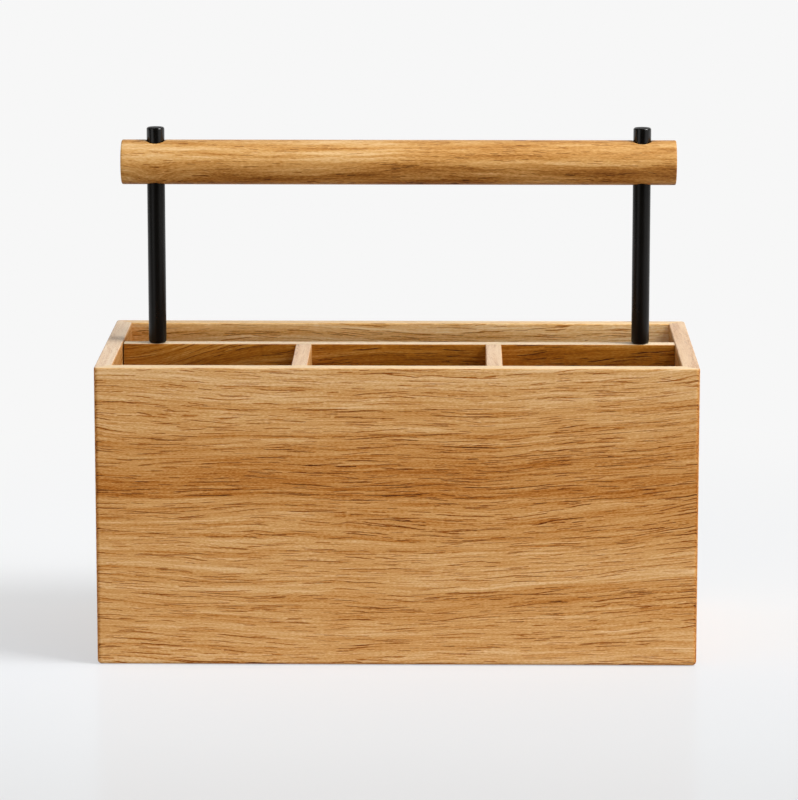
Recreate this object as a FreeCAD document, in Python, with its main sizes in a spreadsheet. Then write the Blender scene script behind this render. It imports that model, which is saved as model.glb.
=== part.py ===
import FreeCAD, Part
import os
from math import pi

import Sketcher
from FreeCAD import Placement, Rotation, Vector

# Open oak utensil caddy with a round handle bar on two metal uprights.
#
# Four boards with mitred, splined corners stand round a base board that is held in grooves.
# A long divider and two short ones part the box into three front bays and one long rear bay.
# Two turned uprights stand on the long divider and carry the handle bar; a cap nut on a
# threaded stud clamps the bar onto each of them.
#
# Millimetres, +Z up. The origin is the middle of the footprint, on the table. The front board
# faces -Y and the length of the box lies along X.

doc = FreeCAD.newDocument("utensil_caddy")

# ---------------------------------------------------------------------------
# Driving dimensions
# ---------------------------------------------------------------------------

DIMENSIONS = [
    ("box_length", 330, "outside of the box, left to right"),
    ("box_depth", 160, "outside of the box, front to back"),
    ("box_height", 166, "table to rim"),
    ("wall", 9.5, "thickness of the four wall boards"),
    ("corner_round", 2.5, "radius down the outer corners"),
    ("foot_round", 2.2, "radius round the outer bottom edge"),
    ("rim_round", 0.9, "radius on both edges of the rim"),
    ("base_rise", 4, "table to the underside of the base board"),
    ("base_thickness", 5, "thickness of the base board"),
    ("groove_depth", 4.5, "depth of the base groove in each wall"),
    ("groove_fit", 0.15, "extra height of the base groove"),
    ("groove_end_gap", 0.5, "room for the base board to swell in its groove"),
    ("divider", 9, "thickness of the dividers"),
    ("divider_drop", 0.5, "rim to the top of the dividers"),
    ("divider_round", 0.8, "radius on the top edges of the dividers"),
    ("front_bay_depth", 71.5, "clear depth of the front bays"),
    ("left_shoulder_gap", 0.7, "open joint at the left end of the long divider"),
    ("shoulder_gap", 0.2, "open joint at the other divider ends"),
    ("tongue", 4, "thickness of the tongues on the divider ends"),
    ("tongue_length", 3.5, "length of a tongue beyond the board face it enters"),
    ("tongue_stop", 12, "rim to the top of a tongue"),
    ("tongue_fit", 0.1, "gap on each side of a tongue"),
    ("dado_end_gap", 0.3, "gap past the tip of a tongue"),
    ("spline", 3, "thickness of the corner splines"),
    ("spline_width", 8, "width of a spline across the mitre"),
    ("spline_from_corner", 8, "outer corner to the middle of a spline, along the mitre"),
    ("spline_lift", 6, "base board to the lower end of a spline"),
    ("spline_stop", 15, "rim to the upper end of a spline"),
    ("spline_fit", 0.1, "gap round a spline in its slot"),
    ("upright_diameter", 10, "diameter of the uprights"),
    ("upright_inset", 29, "outer end face of the box to the middle of an upright"),
    ("upright_round", 1.5, "radius round the foot of an upright"),
    ("upright_fit", 0.15, "gap round the top of an upright in the bar"),
    ("upright_seat", 4, "depth that an upright enters the bar"),
    ("bar_diameter", 25, "diameter of the handle bar"),
    ("bar_overhang", 19, "middle of an upright to the end of the bar"),
    ("bar_height", 102, "rim to the middle of the bar"),
    ("bar_end_bevel", 0.8, "bevel round the ends of the bar"),
    ("cap_diameter", 10, "diameter of the cap nuts"),
    ("cap_rise", 7.2, "top of the bar to the top of a cap nut"),
    ("cap_round", 1, "radius round the top of a cap nut"),
    ("cap_clearance", 0.5, "gap round a cap nut in its counterbore"),
    ("cap_seat", 6, "depth of the counterbore under a cap nut"),
    ("mouth_chamfer", 0.4, "chamfer round the mouth of the counterbore"),
    ("stud", 5, "diameter of the studs"),
    ("stud_fit", 0.1, "gap round a stud in its hole"),
    ("stud_end_gap", 1, "depth of a hole past the end of its stud"),
    ("stud_in_upright", 12, "length of a stud inside an upright"),
    ("stud_in_cap", 8, "length of a stud inside a cap nut"),
    ("stud_in_divider", 22, "length of a foot stud inside the long divider"),
]

sizes = doc.addObject("Spreadsheet::Sheet", "sizes")
for row, (alias, number, meaning) in enumerate(DIMENSIONS, start=1):
    sizes.set(f"A{row}", meaning)
    sizes.set(f"B{row}", str(number))
    sizes.setAlias(f"B{row}", alias)
doc.recompute()

# ---------------------------------------------------------------------------
# Places that several pieces share, as expressions on the sheet
# ---------------------------------------------------------------------------

INSIDE_LENGTH = "(sizes.box_length - 2 * sizes.wall)"
INSIDE_DEPTH = "(sizes.box_depth - 2 * sizes.wall)"
BASE_TOP = "(sizes.base_rise + sizes.base_thickness)"
DIVIDER_TOP = "(sizes.box_height - sizes.divider_drop)"
DIVIDER_HEIGHT = f"({DIVIDER_TOP} - {BASE_TOP})"
DIVIDER_Y = "(sizes.wall + sizes.front_bay_depth + sizes.divider / 2 - sizes.box_depth / 2)"
FRONT_BAY_WIDTH = f"(({INSIDE_LENGTH} - 2 * sizes.divider) / 3)"
SHORT_DIVIDER_X = f"(({FRONT_BAY_WIDTH} + sizes.divider) / 2)"
FRONT_BAY_Y = "(sizes.wall + sizes.front_bay_depth / 2 - sizes.box_depth / 2)"
TONGUE_HEIGHT = f"(sizes.box_height - sizes.tongue_stop - {BASE_TOP})"
DADO_WIDTH = "(sizes.tongue + 2 * sizes.tongue_fit)"
DADO_DEPTH = "(sizes.tongue_length + sizes.dado_end_gap)"
SLOT_BOTTOM = f"({BASE_TOP} + sizes.spline_lift)"
SLOT_HEIGHT = f"(sizes.box_height - sizes.spline_stop - {SLOT_BOTTOM})"
UPRIGHT_X = "(sizes.box_length / 2 - sizes.upright_inset)"
BAR_Z = "(sizes.box_height + sizes.bar_height)"
BAR_LENGTH = f"(2 * {UPRIGHT_X} + 2 * sizes.bar_overhang)"
UPRIGHT_TOP = f"({BAR_Z} - sizes.bar_diameter / 2 + sizes.upright_seat)"
CAP_BOTTOM = f"({BAR_Z} + sizes.bar_diameter / 2 - sizes.cap_seat)"
CAP_LENGTH = "(sizes.cap_seat + sizes.cap_rise)"
STUD_HOLE = "(sizes.stud + 2 * sizes.stud_fit)"

# The round under the foot turns the corners too, so it has to stay tighter than they are.
FOOT_ROUND = "min(sizes.foot_round; 0.9 * sizes.corner_round)"

SIDES = {"left": -1, "right": 1}
ENDS = {"front": -1, "back": 1}
TINY = 1e-4
NEARLY = 0.01


# ---------------------------------------------------------------------------
# Helpers
# ---------------------------------------------------------------------------

def measure(expression):
    """Work out an expression on the sheet as a number of millimetres."""
    return float(sizes.evalExpression(str(expression)))


def new_body(name, x="0", y="0", z="0", turn=0):
    """Start a piece whose own origin stands at x, y, z, turned about the vertical."""
    body = doc.addObject("PartDesign::Body", name)
    body.Label = name
    body.Placement = Placement(Vector(), Rotation(Vector(0, 0, 1), turn))
    for axis, expression in zip("xyz", (x, y, z)):
        body.setExpression(f"Placement.Base.{axis}", expression)
    return body


def new_sketch(body, name, plane, offset="0"):
    """Lay a sketch on one of the body's own origin planes, moved along that plane's normal."""
    sketch = body.newObject("Sketcher::SketchObject", f"{body.Name}_{name}")
    origin_plane = next(item for item in body.Origin.OriginFeatures if item.Role == plane)
    sketch.AttachmentSupport = [(origin_plane, "")]
    sketch.MapMode = "FlatFace"
    sketch.setExpression("AttachmentOffset.Base.z", offset)
    return sketch


def bind(sketch, kind, *where, to):
    """Add a dimension to a sketch and bind it to an expression on the sheet."""
    index = sketch.addConstraint(Sketcher.Constraint(kind, *where, measure(to)))
    sketch.setExpression(f"Constraints[{index}]", to)


def draw_outline(sketch, corners):
    """Draw straight lines round corners, each a pair of expressions, and bind every corner."""
    points = [Vector(measure(x), measure(y), 0) for x, y in corners]
    first = sketch.GeometryCount
    for start, end in zip(points, points[1:] + points[:1]):
        sketch.addGeometry(Part.LineSegment(start, end), False)
    for index, (x, y) in enumerate(corners):
        line = first + index
        before = first + (index - 1) % len(corners)
        sketch.addConstraint(Sketcher.Constraint("Coincident", before, 2, line, 1))
        bind(sketch, "DistanceX", -1, 1, line, 1, to=x)
        bind(sketch, "DistanceY", -1, 1, line, 1, to=y)


def draw_rectangle(sketch, left, bottom, right, top):
    """Draw an upright rectangle between four expressions."""
    draw_outline(sketch, [(left, bottom), (right, bottom), (right, top), (left, top)])


def draw_circle(sketch, x, y, diameter):
    """Draw a circle about the point x, y."""
    centre = Vector(measure(x), measure(y), 0)
    circle = sketch.addGeometry(Part.Circle(centre, Vector(0, 0, 1), measure(diameter) / 2), False)
    bind(sketch, "DistanceX", -1, 1, circle, 3, to=x)
    bind(sketch, "DistanceY", -1, 1, circle, 3, to=y)
    bind(sketch, "Diameter", circle, to=diameter)


def pad(body, sketch, length, symmetric=False):
    """Raise a sketch into material, along its normal or to both sides of it."""
    feature = body.newObject("PartDesign::Pad", f"{sketch.Name}_pad")
    feature.Profile = sketch
    feature.SideType = "Symmetric" if symmetric else "One side"
    feature.setExpression("Length", length)
    doc.recompute()
    return feature


def pocket(body, sketch, depth=None, with_normal=False):
    """Cut a sketch out of a body, depth deep, or right through both ways when none is given.

    The cut goes against the sketch's normal, or with it when asked to.
    """
    before = body.Shape.Volume
    feature = body.newObject("PartDesign::Pocket", f"{sketch.Name}_pocket")
    feature.Profile = sketch
    feature.Reversed = with_normal
    if depth is None:
        feature.Type = "ThroughAll"
        feature.SideType = "Symmetric"
    else:
        feature.setExpression("Length", depth)
    doc.recompute()
    if body.Shape.Volume > before - TINY:
        raise RuntimeError(f"{feature.Name} cuts nothing")
    return feature


def dress(body, kind, name, edge_test, size):
    """Round or bevel every edge of a body's last feature that passes a test."""
    last = body.Tip
    chosen = [f"Edge{number}" for number, edge in enumerate(last.Shape.Edges, start=1)
              if edge_test(edge.BoundBox)]
    if not chosen:
        raise RuntimeError(f"{body.Name} has no edge for its {name}")
    feature = body.newObject(f"PartDesign::{kind}", f"{body.Name}_{name}")
    feature.Base = (last, chosen)
    feature.setExpression("Radius" if kind == "Fillet" else "Size", size)
    doc.recompute()
    return feature


def is_level(box, height):
    """True for the box of an edge that lies flat at one height."""
    return abs(box.ZMin - height) < TINY and abs(box.ZMax - height) < TINY


# ---------------------------------------------------------------------------
# Wall boards
# ---------------------------------------------------------------------------

def draw_mitred_plan(sketch, length):
    """Draw a wall board from above: outer face on the X axis, mitred ends, rounded tips.

    Each tip is an eighth of a circle whose centre lies on the mitre, so that two boards make
    a quarter round together.
    """
    half = measure(length) / 2
    wall = measure("sizes.wall")
    radius = measure("sizes.corner_round")
    tip = radius * 0.5 ** 0.5
    up = Vector(0, 0, 1)
    right_tip = Vector(half - radius + tip, radius - tip, 0)
    left_tip = Vector(-right_tip.x, right_tip.y, 0)
    right_inside = Vector(half - wall, wall, 0)
    left_inside = Vector(wall - half, wall, 0)
    outer = sketch.addGeometry(Part.LineSegment(Vector(radius - half, 0, 0),
                                                Vector(half - radius, 0, 0)), False)
    right_arc = sketch.addGeometry(Part.ArcOfCircle(
        Part.Circle(Vector(half - radius, radius, 0), up, radius), -pi / 2, -pi / 4), False)
    right_mitre = sketch.addGeometry(Part.LineSegment(right_tip, right_inside), False)
    inner = sketch.addGeometry(Part.LineSegment(right_inside, left_inside), False)
    left_mitre = sketch.addGeometry(Part.LineSegment(left_inside, left_tip), False)
    left_arc = sketch.addGeometry(Part.ArcOfCircle(
        Part.Circle(Vector(radius - half, radius, 0), up, radius), -3 * pi / 4, -pi / 2), False)

    for rule in [
        ("Tangent", outer, 2, right_arc, 1),
        ("Coincident", right_arc, 2, right_mitre, 1),
        ("Coincident", right_mitre, 2, inner, 1),
        ("Coincident", inner, 2, left_mitre, 1),
        ("Coincident", left_mitre, 2, left_arc, 1),
        ("Tangent", left_arc, 2, outer, 1),
        ("PointOnObject", outer, 1, -1),
        ("Symmetric", outer, 1, outer, 2, -2),
        ("Symmetric", inner, 1, inner, 2, -2),
        ("PointOnObject", right_arc, 3, right_mitre),
        ("PointOnObject", left_arc, 3, left_mitre),
        ("Equal", right_arc, left_arc),
        ("Angle", right_mitre, 3 * pi / 4),
    ]:
        sketch.addConstraint(Sketcher.Constraint(*rule))
    bind(sketch, "Radius", right_arc, to="sizes.corner_round")
    bind(sketch, "DistanceX", inner, 2, inner, 1, to=f"{length} - 2 * sizes.wall")
    bind(sketch, "DistanceY", -1, 1, inner, 1, to="sizes.wall")


def spline_slot(length, side):
    """Give the corners of one spline slot, seen from above, as expressions.

    A corner lies some way along the mitre from the outer corner of the box, and some way
    across it: on the plus side inside this board, on the minus side beyond the mitre.
    """
    thin = "(sizes.spline / 2 + sizes.spline_fit)"
    wide = "(sizes.spline_width / 2 + sizes.spline_fit)"
    corners = []
    for thin_side, wide_side in [(-1, -1), (-1, 1), (1, 1), (1, -1)]:
        along = f"(sizes.spline_from_corner + {thin_side} * {thin})"
        across = f"({wide_side} * {wide})"
        corners.append((f"{side} * ({length} / 2 - ({along} + {across}) / sqrt(2))",
                        f"({along} - {across}) / sqrt(2)"))
    return corners


def wall_board(name, length, dados=(), **place):
    """Make one wall board. Dados are the middles of the upright housings on its inner face."""
    body = new_body(name, **place)

    plan = new_sketch(body, "plan", "XY_Plane")
    draw_mitred_plan(plan, length)
    pad(body, plan, "sizes.box_height")

    groove = new_sketch(body, "groove", "YZ_Plane")
    draw_rectangle(groove, "sizes.wall - sizes.groove_depth", "sizes.base_rise",
                   "sizes.wall", f"{BASE_TOP} + sizes.groove_fit")
    pocket(body, groove)

    slots = new_sketch(body, "spline_slots", "XY_Plane", SLOT_BOTTOM)
    for side in SIDES.values():
        draw_outline(slots, spline_slot(length, side))
    pocket(body, slots, SLOT_HEIGHT, with_normal=True)

    if dados:
        housings = new_sketch(body, "dados", "XZ_Plane", "-sizes.wall")
        for middle in dados:
            draw_rectangle(housings, f"{middle} - {DADO_WIDTH} / 2", BASE_TOP,
                           f"{middle} + {DADO_WIDTH} / 2", f"{BASE_TOP} + {TONGUE_HEIGHT}")
        pocket(body, housings, DADO_DEPTH, with_normal=True)

    height = measure("sizes.box_height")
    wall = measure("sizes.wall")
    outside = measure("sizes.corner_round")
    dress(body, "Fillet", "rim_round",
          lambda box: is_level(box, height) and (box.YMax < outside or box.YMin > wall - TINY),
          "sizes.rim_round")
    dress(body, "Fillet", "foot_round",
          lambda box: is_level(box, 0) and box.YMax < outside,
          FOOT_ROUND)
    return body


wall_board("front_board", "sizes.box_length", y="-sizes.box_depth / 2",
           dados=[f"-{SHORT_DIVIDER_X}", SHORT_DIVIDER_X])
wall_board("back_board", "sizes.box_length", y="sizes.box_depth / 2", turn=180)
wall_board("left_end_board", "sizes.box_depth", x="-sizes.box_length / 2", turn=-90,
           dados=[f"-{DIVIDER_Y}"])
wall_board("right_end_board", "sizes.box_depth", x="sizes.box_length / 2", turn=90,
           dados=[DIVIDER_Y])


# ---------------------------------------------------------------------------
# Corner splines
# ---------------------------------------------------------------------------

def corner_spline(name, side, end):
    """Make the loose strip that keys one mitre, set across the corner."""
    inward = "sizes.spline_from_corner / sqrt(2)"
    body = new_body(name, x=f"{side} * (sizes.box_length / 2 - {inward})",
                    y=f"{end} * (sizes.box_depth / 2 - {inward})",
                    z=SLOT_BOTTOM, turn=-45 * side * end)
    section = new_sketch(body, "section", "XY_Plane")
    draw_rectangle(section, "-sizes.spline_width / 2", "-sizes.spline / 2",
                   "sizes.spline_width / 2", "sizes.spline / 2")
    pad(body, section, f"{SLOT_HEIGHT} - sizes.spline_fit")


for end_name, end in ENDS.items():
    for side_name, side in SIDES.items():
        corner_spline(f"{end_name}_{side_name}_spline", side, end)


# ---------------------------------------------------------------------------
# Base board
# ---------------------------------------------------------------------------

base = new_body("base_board", z="sizes.base_rise")
base_plan = new_sketch(base, "plan", "XY_Plane")
reach = "sizes.groove_depth - sizes.groove_end_gap"
draw_rectangle(base_plan, f"-({INSIDE_LENGTH} / 2 + {reach})", f"-({INSIDE_DEPTH} / 2 + {reach})",
               f"{INSIDE_LENGTH} / 2 + {reach}", f"{INSIDE_DEPTH} / 2 + {reach}")
pad(base, base_plan, "sizes.base_thickness")


# ---------------------------------------------------------------------------
# Dividers
# ---------------------------------------------------------------------------

def tongued_board(name, run, near_gap, far_gap, **place):
    """Make a divider that spans a clear run between two boards.

    Its shoulders stop short of both boards by their gaps, and its tongues enter their dados.
    """
    body = new_body(name, z=BASE_TOP, **place)
    near = f"(-{run} / 2 + {near_gap})"
    far = f"({run} / 2 - {far_gap})"
    tip = f"({run} / 2 + sizes.tongue_length)"

    face = new_sketch(body, "face", "XZ_Plane")
    draw_rectangle(face, near, "0", far, DIVIDER_HEIGHT)
    pad(body, face, "sizes.divider", symmetric=True)

    height = measure(DIVIDER_HEIGHT)
    half = measure("sizes.divider") / 2
    dress(body, "Fillet", "top_round",
          lambda box: is_level(box, height) and abs(abs(box.Center.y) - half) < TINY,
          "sizes.divider_round")

    tongues = new_sketch(body, "tongues", "XZ_Plane")
    draw_rectangle(tongues, f"-{tip}", "0", near, TONGUE_HEIGHT)
    draw_rectangle(tongues, far, "0", tip, TONGUE_HEIGHT)
    pad(body, tongues, "sizes.tongue", symmetric=True)
    return body


long_divider = tongued_board("long_divider", INSIDE_LENGTH, "sizes.left_shoulder_gap",
                             "sizes.shoulder_gap", y=DIVIDER_Y)

divider_dados = new_sketch(long_divider, "dados", "XZ_Plane", "sizes.divider / 2")
for side in SIDES.values():
    middle = f"{side} * {SHORT_DIVIDER_X}"
    draw_rectangle(divider_dados, f"{middle} - {DADO_WIDTH} / 2", "0",
                   f"{middle} + {DADO_WIDTH} / 2", TONGUE_HEIGHT)
pocket(long_divider, divider_dados, DADO_DEPTH)

pilot_holes = new_sketch(long_divider, "pilot_holes", "XY_Plane", DIVIDER_HEIGHT)
for side in SIDES.values():
    draw_circle(pilot_holes, f"{side} * {UPRIGHT_X}", "0", STUD_HOLE)
pocket(long_divider, pilot_holes, "sizes.stud_in_divider + sizes.stud_end_gap")

for side_name, side in SIDES.items():
    tongued_board(f"{side_name}_short_divider", "sizes.front_bay_depth", "sizes.shoulder_gap",
                  "sizes.shoulder_gap", x=f"{side} * {SHORT_DIVIDER_X}", y=FRONT_BAY_Y, turn=90)


# ---------------------------------------------------------------------------
# Handle bar
# ---------------------------------------------------------------------------

bar = new_body("handle_bar", y=DIVIDER_Y, z=BAR_Z)
bar_section = new_sketch(bar, "section", "YZ_Plane")
draw_circle(bar_section, "0", "0", "sizes.bar_diameter")
pad(bar, bar_section, BAR_LENGTH, symmetric=True)

bar_end = measure(BAR_LENGTH) / 2
dress(bar, "Chamfer", "end_bevel",
      lambda box: box.XLength < TINY and abs(abs(box.Center.x) - bar_end) < TINY,
      "sizes.bar_end_bevel")

stud_holes = new_sketch(bar, "stud_holes", "XY_Plane", "sizes.bar_diameter / 2")
for side in SIDES.values():
    draw_circle(stud_holes, f"{side} * {UPRIGHT_X}", "0", STUD_HOLE)
counterbored = bar.newObject("PartDesign::Hole", "handle_bar_counterbored_holes")
counterbored.Profile = stud_holes
doc.recompute()
counterbored.DepthType = "ThroughAll"
counterbored.HoleCutType = "Counterbore"
counterbored.HoleCutCustomValues = True
counterbored.setExpression("Diameter", STUD_HOLE)
counterbored.setExpression("HoleCutDiameter", "sizes.cap_diameter + 2 * sizes.cap_clearance")
counterbored.setExpression("HoleCutDepth", "sizes.cap_seat")
doc.recompute()

upright_seats = new_sketch(bar, "upright_seats", "XY_Plane", "-sizes.bar_diameter / 2")
for side in SIDES.values():
    draw_circle(upright_seats, f"{side} * {UPRIGHT_X}", "0",
                "sizes.upright_diameter + 2 * sizes.upright_fit")
pocket(bar, upright_seats, "sizes.upright_seat", with_normal=True)

counterbore = measure("sizes.cap_diameter + 2 * sizes.cap_clearance")
seat_level = measure("sizes.bar_diameter / 2 - sizes.cap_seat")
dress(bar, "Chamfer", "mouth_chamfer",
      lambda box: abs(box.XLength / counterbore - 1) < NEARLY and box.ZMin > seat_level + TINY,
      "sizes.mouth_chamfer")


# ---------------------------------------------------------------------------
# Turned metal pieces
# ---------------------------------------------------------------------------

def turned(name, profile, **place):
    """Turn half a profile, given as pairs of radius and height, about the vertical axis."""
    body = new_body(name, y=DIVIDER_Y, **place)
    half_section = new_sketch(body, "half_section", "XZ_Plane")
    draw_outline(half_section, profile)
    feature = body.newObject("PartDesign::Revolution", f"{name}_turned")
    feature.Profile = half_section
    feature.ReferenceAxis = (half_section, ["V_Axis"])
    feature.Angle = 360
    doc.recompute()
    return body


def upright(name, side):
    """Make a round upright, bored at both ends for its studs and rounded at the foot."""
    length = f"({UPRIGHT_TOP} - {DIVIDER_TOP})"
    radius = "sizes.upright_diameter / 2"
    bore = f"{STUD_HOLE} / 2"
    bore_depth = "(sizes.stud_in_upright + sizes.stud_end_gap)"
    body = turned(name, [(bore, "0"), (radius, "0"), (radius, length), (bore, length),
                         (bore, f"{length} - {bore_depth}"), ("0", f"{length} - {bore_depth}"),
                         ("0", bore_depth), (bore, bore_depth)],
                  x=f"{side} * {UPRIGHT_X}", z=DIVIDER_TOP)
    width = measure("sizes.upright_diameter")
    dress(body, "Fillet", "foot_round",
          lambda box: is_level(box, 0) and abs(box.XLength - width) < TINY,
          "sizes.upright_round")


def cap_nut(name, side):
    """Make a blind round nut with a rounded top, which sits in the bar's counterbore."""
    radius = "sizes.cap_diameter / 2"
    bore = f"{STUD_HOLE} / 2"
    bore_depth = "(sizes.stud_in_cap + sizes.stud_end_gap)"
    body = turned(name, [(bore, "0"), (radius, "0"), (radius, CAP_LENGTH), ("0", CAP_LENGTH),
                         ("0", bore_depth), (bore, bore_depth)],
                  x=f"{side} * {UPRIGHT_X}", z=CAP_BOTTOM)
    top = measure(CAP_LENGTH)
    dress(body, "Fillet", "top_round", lambda box: is_level(box, top), "sizes.cap_round")


def stud(name, side, bottom, length):
    """Make a threaded stud as a plain rod."""
    radius = "sizes.stud / 2"
    turned(name, [("0", "0"), (radius, "0"), (radius, length), ("0", length)],
           x=f"{side} * {UPRIGHT_X}", z=bottom)


for side_name, side in SIDES.items():
    upright(f"{side_name}_upright", side)
    cap_nut(f"{side_name}_cap_nut", side)
    stud(f"{side_name}_handle_stud", side, f"{UPRIGHT_TOP} - sizes.stud_in_upright",
         f"{CAP_BOTTOM} + sizes.stud_in_cap - {UPRIGHT_TOP} + sizes.stud_in_upright")
    stud(f"{side_name}_foot_stud", side, f"{DIVIDER_TOP} - sizes.stud_in_divider",
         "sizes.stud_in_divider + sizes.stud_in_upright")


# ---------------------------------------------------------------------------
# Checks and export
# ---------------------------------------------------------------------------

doc.recompute()
for item in doc.Objects:
    if "Invalid" in item.State or "Error" in item.State:
        raise RuntimeError(f"{item.Name} failed: {item.State}")
    if item.TypeId == "Sketcher::SketchObject" and not item.FullyConstrained:
        raise RuntimeError(f"{item.Name} is not fully constrained")

pieces = [item for item in doc.Objects if item.TypeId == "PartDesign::Body"]
for piece in pieces:
    if piece.Shape.isNull() or not piece.Shape.isValid() or len(piece.Shape.Solids) != 1:
        raise RuntimeError(f"{piece.Label} is not one valid solid")

os.makedirs("parts", exist_ok=True)
for piece in pieces:
    piece.Shape.exportStep(f"parts/{piece.Label}.step")
    box = piece.Shape.BoundBox
    print(f"{piece.Label:20s} {piece.Shape.Volume:10.1f} mm3  X {box.XMin:7.2f} {box.XMax:7.2f}"
          f"  Y {box.YMin:7.2f} {box.YMax:7.2f}  Z {box.ZMin:7.2f} {box.ZMax:7.2f}")
print(len(pieces), "pieces")
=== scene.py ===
# %% [markdown]
# # An oak utensil caddy with a dowel handle
#
# The caddy is a mitred oak box with three short bays in front and one long bay behind.
# Two black rods stand on the long divider and carry a turned oak bar as the handle.
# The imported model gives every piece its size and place, so this lesson starts by loading it.
# What is left for Blender is the finish: the grain, the oiled sheen, the powder coat and the light.

import math

import bmesh
import bpy
import numpy as np
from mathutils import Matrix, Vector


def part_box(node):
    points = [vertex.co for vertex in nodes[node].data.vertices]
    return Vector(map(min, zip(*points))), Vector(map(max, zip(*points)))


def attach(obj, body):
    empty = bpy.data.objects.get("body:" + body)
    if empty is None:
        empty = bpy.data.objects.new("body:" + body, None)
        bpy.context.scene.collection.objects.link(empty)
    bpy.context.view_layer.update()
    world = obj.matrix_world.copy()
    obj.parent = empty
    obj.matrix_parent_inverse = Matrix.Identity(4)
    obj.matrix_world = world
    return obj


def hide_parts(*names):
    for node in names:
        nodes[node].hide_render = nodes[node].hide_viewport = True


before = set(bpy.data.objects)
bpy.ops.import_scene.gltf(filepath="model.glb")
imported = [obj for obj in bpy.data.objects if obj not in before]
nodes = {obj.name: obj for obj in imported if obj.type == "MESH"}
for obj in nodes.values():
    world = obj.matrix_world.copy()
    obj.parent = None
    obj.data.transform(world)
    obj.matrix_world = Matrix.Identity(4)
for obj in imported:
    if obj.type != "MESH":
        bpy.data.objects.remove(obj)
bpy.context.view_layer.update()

# %% [markdown]
# ## The camera
#
# A product picture of a long box is taken from far away with a long lens, so that its edges stay nearly
# parallel. The camera stands a little to the right of the middle and looks slightly down, which shows the
# rims and the first few centimetres inside the bays. The lens has no shift.

# %% Camera
eye = (0.0306, -2.280, 0.5544)
pitch_down, yaw_left = 10.452, 0.763
lens_mm, sensor_mm, far_clip = 184.98, 36, 100
camera = bpy.data.objects.new("camera", bpy.data.cameras.new("camera"))
bpy.context.scene.collection.objects.link(camera)
camera.location = eye
camera.rotation_euler = (math.radians(90 - pitch_down), 0, math.radians(yaw_left))
camera.data.sensor_width = sensor_mm
camera.data.lens = lens_mm
camera.data.clip_end = far_clip
bpy.context.scene.camera = camera
bpy.context.scene.view_settings.view_transform = "Standard"
print("camera looks from", eye, "through a", lens_mm, "mm lens")

# %% [markdown]
# ## Colours and nodes
#
# Colours are written as the sRGB hex values that a paint chart would use, and shader sockets want linear
# light, so one function turns the first into the second. A second small function adds any node, sets its
# properties, and fills or links its inputs. Everything below is built with these two.

# %% Helpers for colours and nodes
def linear(hex_colour):
    """sRGB hex to linear RGBA: c / 12.92 below 0.04045, and ((c + 0.055) / 1.055) ** 2.4 above it."""
    c = np.array([int(hex_colour[i:i + 2], 16) for i in (1, 3, 5)]) / 255
    c = np.where(c <= 0.04045, c / 12.92, ((c + 0.055) / 1.055) ** 2.4)
    return (*c.tolist(), 1.0)


def add(tree, kind, inputs=None, **settings):
    """Adds one node. Settings are its properties. An input is a value, a socket, or a node, which stands
    for its first output."""
    node = tree.nodes.new("ShaderNode" + kind)
    for name, value in settings.items():
        setattr(node, name, value)
    for name, value in (inputs or {}).items():
        if isinstance(value, bpy.types.Node):
            value = value.outputs[0]
        if isinstance(value, bpy.types.NodeSocket):
            tree.links.new(value, node.inputs[name])
        else:
            node.inputs[name].default_value = value
    return node


def set_stops(ramp, stops):
    """Gives a colour ramp its stops. A stop's value is a hex colour, or a number for a grey."""
    elements = ramp.color_ramp.elements
    while len(elements) < len(stops):
        elements.new(1.0)
    for element, (position, value) in zip(elements, stops):
        element.position = position
        element.color = linear(value) if isinstance(value, str) else (value, value, value, 1.0)


def new_material(name):
    """A material that has no nodes yet, and its node tree."""
    material = bpy.data.materials.new(name)
    material.use_nodes = True
    material.node_tree.nodes.clear()
    return material, material.node_tree


print("a mid grey is", round(linear("#808080")[0], 4), "in linear light")

# %% [markdown]
# ## Floor and light
#
# The caddy stands on a pale sweep of paper, as in a product studio. The main light is a softbox on the
# right, a little to the front and half way up the sky. It gives the soft shadow on the left and the gleam
# on the caps. The room is bright all round, as a white studio is, and two low, broad panels left and right
# of the camera fill the front.
#
# Black metal shows what stands round it, so mirror-like rays get their own view of the studio: the white
# sweep behind the caddy, a dim room in front of it, and the two panels. A lamp would be mirrored with hard
# edges. So the panels are hidden from these rays, and one function, which the floor and the world share,
# draws their glare as two soft patches.

# %% Glare of the low panels
def panel_glare(tree, sideways, ahead):
    """How bright mirror-like rays see the panels, from the X and Y of a direction. The left patch is a
    narrow one: a smooth step up in X, times one down, times a ramp in Y. The right patch is a smooth step
    up in X times a ramp in Y, and it reaches round to the side."""
    left_up, left_down, right_up = (
        add(tree, "MapRange", {"Value": sideways, "From Min": dark, "From Max": bright, "To Max": peak},
            interpolation_type="SMOOTHSTEP")
        for dark, bright, peak in ((-0.95, -0.75, 0.80), (-0.35, -0.60, 1.0), (0.40, 0.80, 0.70)))
    left_front, right_front = (
        add(tree, "MapRange", {"Value": ahead, "From Min": dark, "From Max": bright})
        for dark, bright in ((-0.05, -0.35), (0.45, 0.15)))
    narrow = add(tree, "Math", {0: left_up, 1: left_down}, operation="MULTIPLY")
    narrow = add(tree, "Math", {0: narrow, 1: left_front}, operation="MULTIPLY")
    broad = add(tree, "Math", {0: right_up, 1: right_front}, operation="MULTIPLY")
    return add(tree, "Math", {0: narrow, 1: broad}, operation="MAXIMUM")


ROOM_DIM = 0.03
SWEEP_WHITE = linear("#F7F7F7")
print("in mirror-like rays the room in front is", ROOM_DIM, "and the sweep", round(SWEEP_WHITE[0], 3))

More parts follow.
